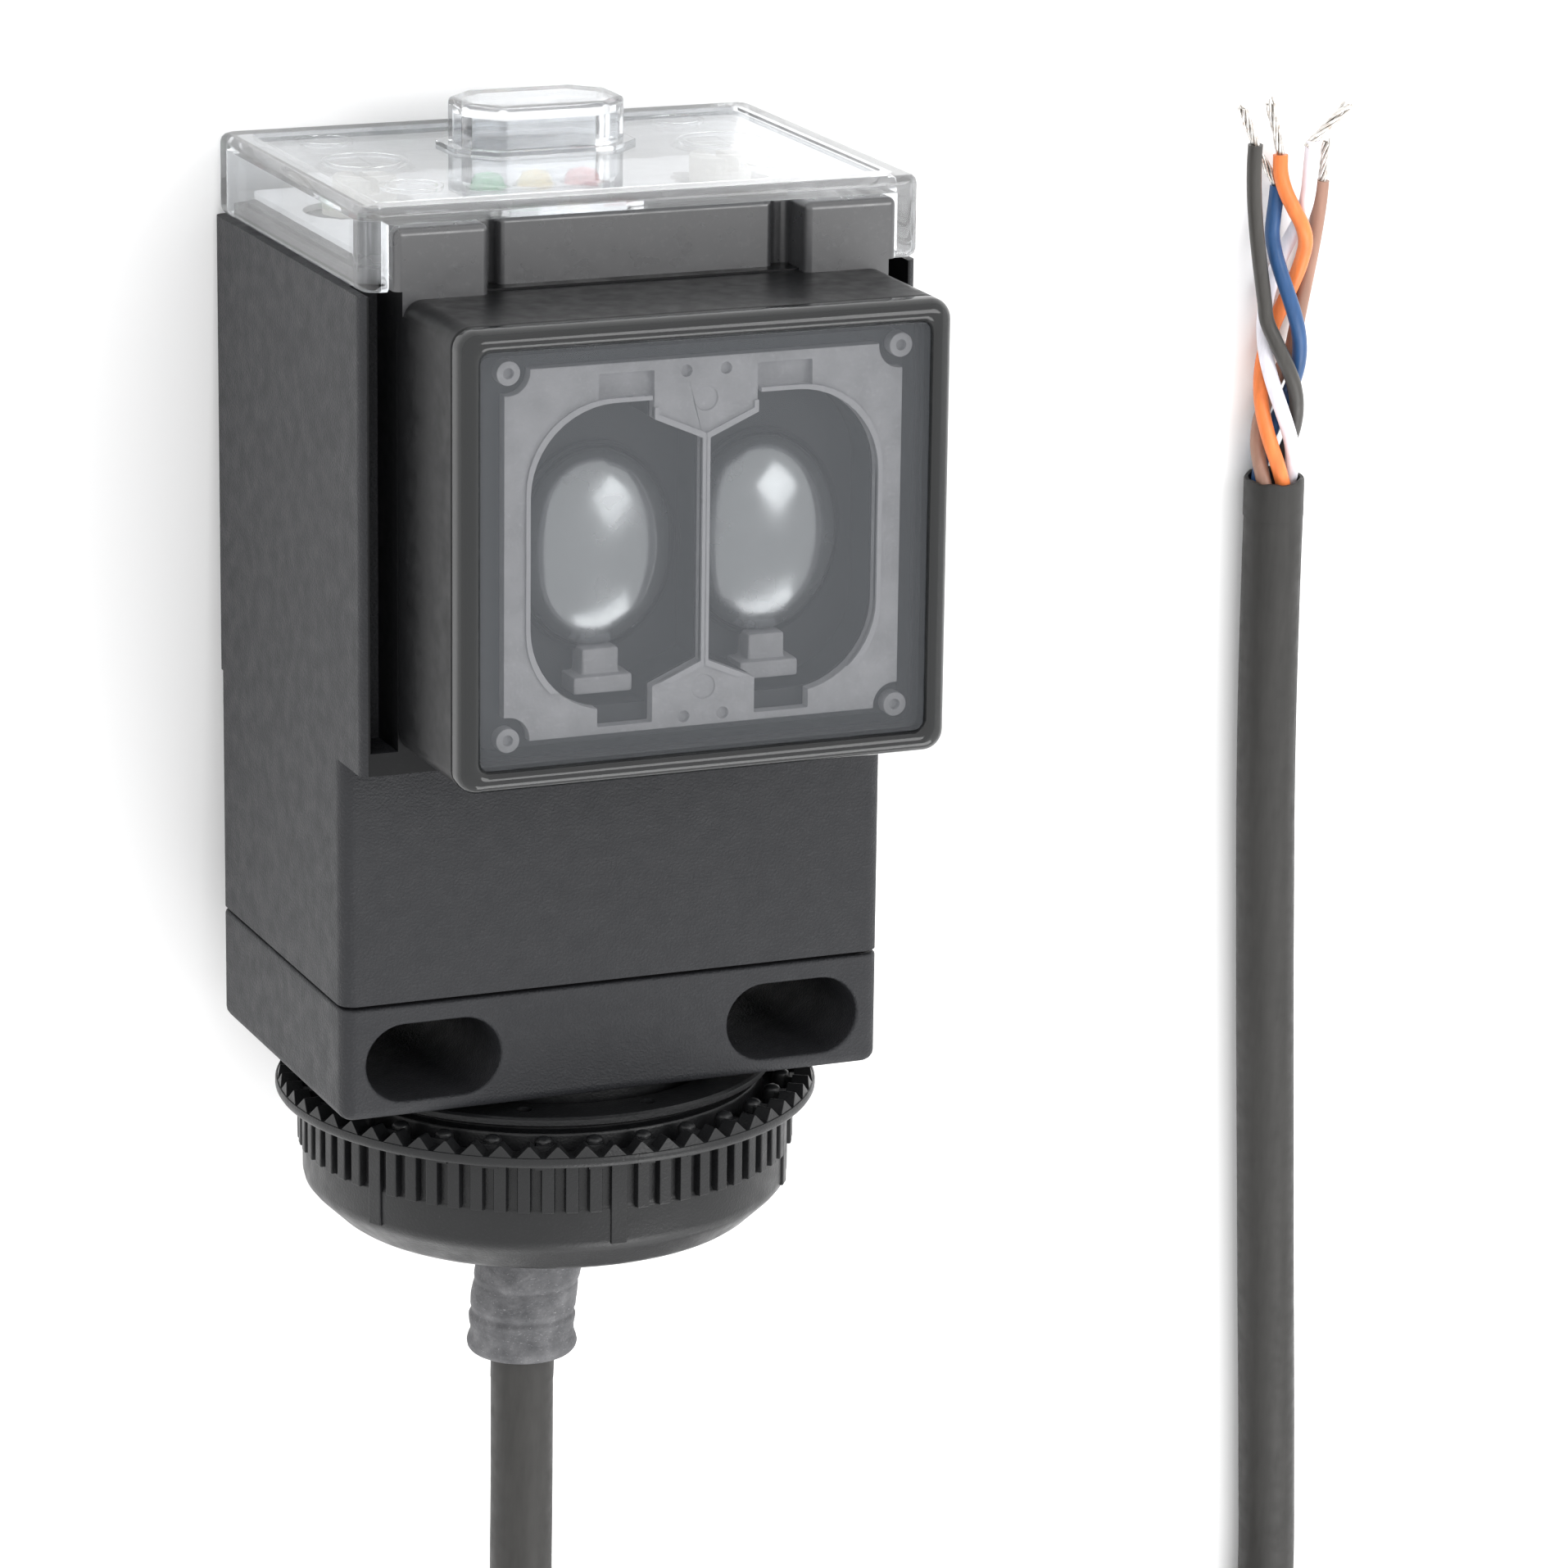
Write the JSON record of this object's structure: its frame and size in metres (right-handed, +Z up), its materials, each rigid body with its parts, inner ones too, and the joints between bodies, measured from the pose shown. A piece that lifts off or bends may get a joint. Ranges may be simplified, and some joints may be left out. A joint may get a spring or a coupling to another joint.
{
  "type": "photoelectric sensor",
  "caption": "Block-shaped photoelectric sensor with a lens window, clear adjustment cover, slotted base, threaded nose with ring nut, and a flying lead with bare wire ends",
  "frame": {"origin": "centre of the sensor's bounding box at the surface that it lies on, the cable not counted", "axes": "+Z up from the surface; +Y runs along the body from the ring nut to the clear cover; +X across the lens window, from emitter to receiver"},
  "size_m": [0.1074, 0.2304, 0.0529],
  "materials": {
    "housing_plastic": "fine textured black moulding",
    "nut_plastic": "black glass-filled moulding",
    "smoked_window": "smoked polished polycarbonate",
    "clear_cover": "clear polished polycarbonate",
    "lens": "clear moulded acrylic",
    "optics_plastic": "grey moulding",
    "panel_white": "light plate",
    "seal_rubber": "black seal",
    "relief_rubber": "worn grey elastomer",
    "cable_sheath": "satin grey PVC sheath",
    "board": "green solder mask",
    "component": "black package",
    "component_light": "natural nylon",
    "indicator_green": "green lamp",
    "indicator_yellow": "yellow lamp",
    "indicator_red": "red lamp",
    "wire_brown": "brown PVC insulation",
    "wire_orange": "orange PVC insulation",
    "wire_white": "white PVC insulation",
    "wire_black": "black PVC insulation",
    "wire_blue": "blue PVC insulation",
    "tinned_copper": "tinned copper strands"
  },
  "bodies": {
    "housing": {"base_body": "housing_plastic", "base_gasket": "seal_rubber", "main_housing": "housing_plastic", "front_window": "smoked_window", "window_gasket": "seal_rubber", "lens_carrier": "optics_plastic", "optical_baffle": "component", "emitter_lens": "lens", "receiver_lens": "lens", "emitter_led": "component_light", "receiver_photodiode": "component", "optics_board": "board", "main_board": "board", "control_chip": "component", "output_transistor_left": "component", "output_transistor_right": "component", "supply_capacitor": "component", "board_connector": "component_light", "indicator_board": "board", "indicator_green": "indicator_green", "indicator_yellow": "indicator_yellow", "indicator_red": "indicator_red", "sensitivity_pot_body": "component", "mode_switch_body": "component", "control_panel": "panel_white", "cover_gasket": "seal_rubber", "gland_seal": "seal_rubber", "inner_lead": "cable_sheath", "strain_relief": "relief_rubber", "cable_lead": "cable_sheath", "cable_coil": "cable_sheath", "coil_tie": "nut_plastic", "cable_tail": "cable_sheath", "conductor_brown": "wire_brown", "strands_brown": "tinned_copper", "conductor_orange": "wire_orange", "strands_orange": "tinned_copper", "conductor_white": "wire_white", "strands_white": "tinned_copper", "conductor_black": "wire_black", "strands_black": "tinned_copper", "conductor_blue": "wire_blue", "strands_blue": "tinned_copper"},
    "clear_cover": {"top_cover": "clear_cover"},
    "sensitivity_adjuster": {"sensitivity_pot_rotor": "component_light"},
    "mode_selector": {"mode_switch_rotor": "component_light"},
    "washer": {"thrust_washer": "nut_plastic"},
    "ring_nut": {"mounting_nut": "nut_plastic"}
  },
  "joints": [
    {"name": "cover_lift", "type": "slide", "parent": "housing", "child": "clear_cover", "axis": [0, 0.9949, -0.1011], "range_m": [0, 0.009]},
    {"name": "sensitivity_turn", "type": "hinge", "parent": "housing", "child": "sensitivity_adjuster", "pos_m": [-0.015, 0.04528, 0.01362], "axis": [0, 0.9949, -0.1011], "range_deg": [-135, 135]},
    {"name": "mode_turn", "type": "hinge", "parent": "housing", "child": "mode_selector", "pos_m": [0.015, 0.04528, 0.01362], "axis": [0, 0.9949, -0.1011], "range_deg": [0, 90]},
    {"name": "washer_travel", "type": "slide", "parent": "housing", "child": "washer", "axis": [0, -0.9949, 0.1011], "range_m": [0, 0.0061]},
    {"name": "nut_turn", "type": "hinge", "parent": "washer", "child": "ring_nut", "pos_m": [0, -0.03222, 0.02249], "axis": [0, -0.9949, 0.1011], "range_deg": [0, 1440]}
  ],
  "couplings": [
    {"joint": "washer_travel", "follows": "nut_turn", "m_per_rad": 0.00023873}
  ]
}
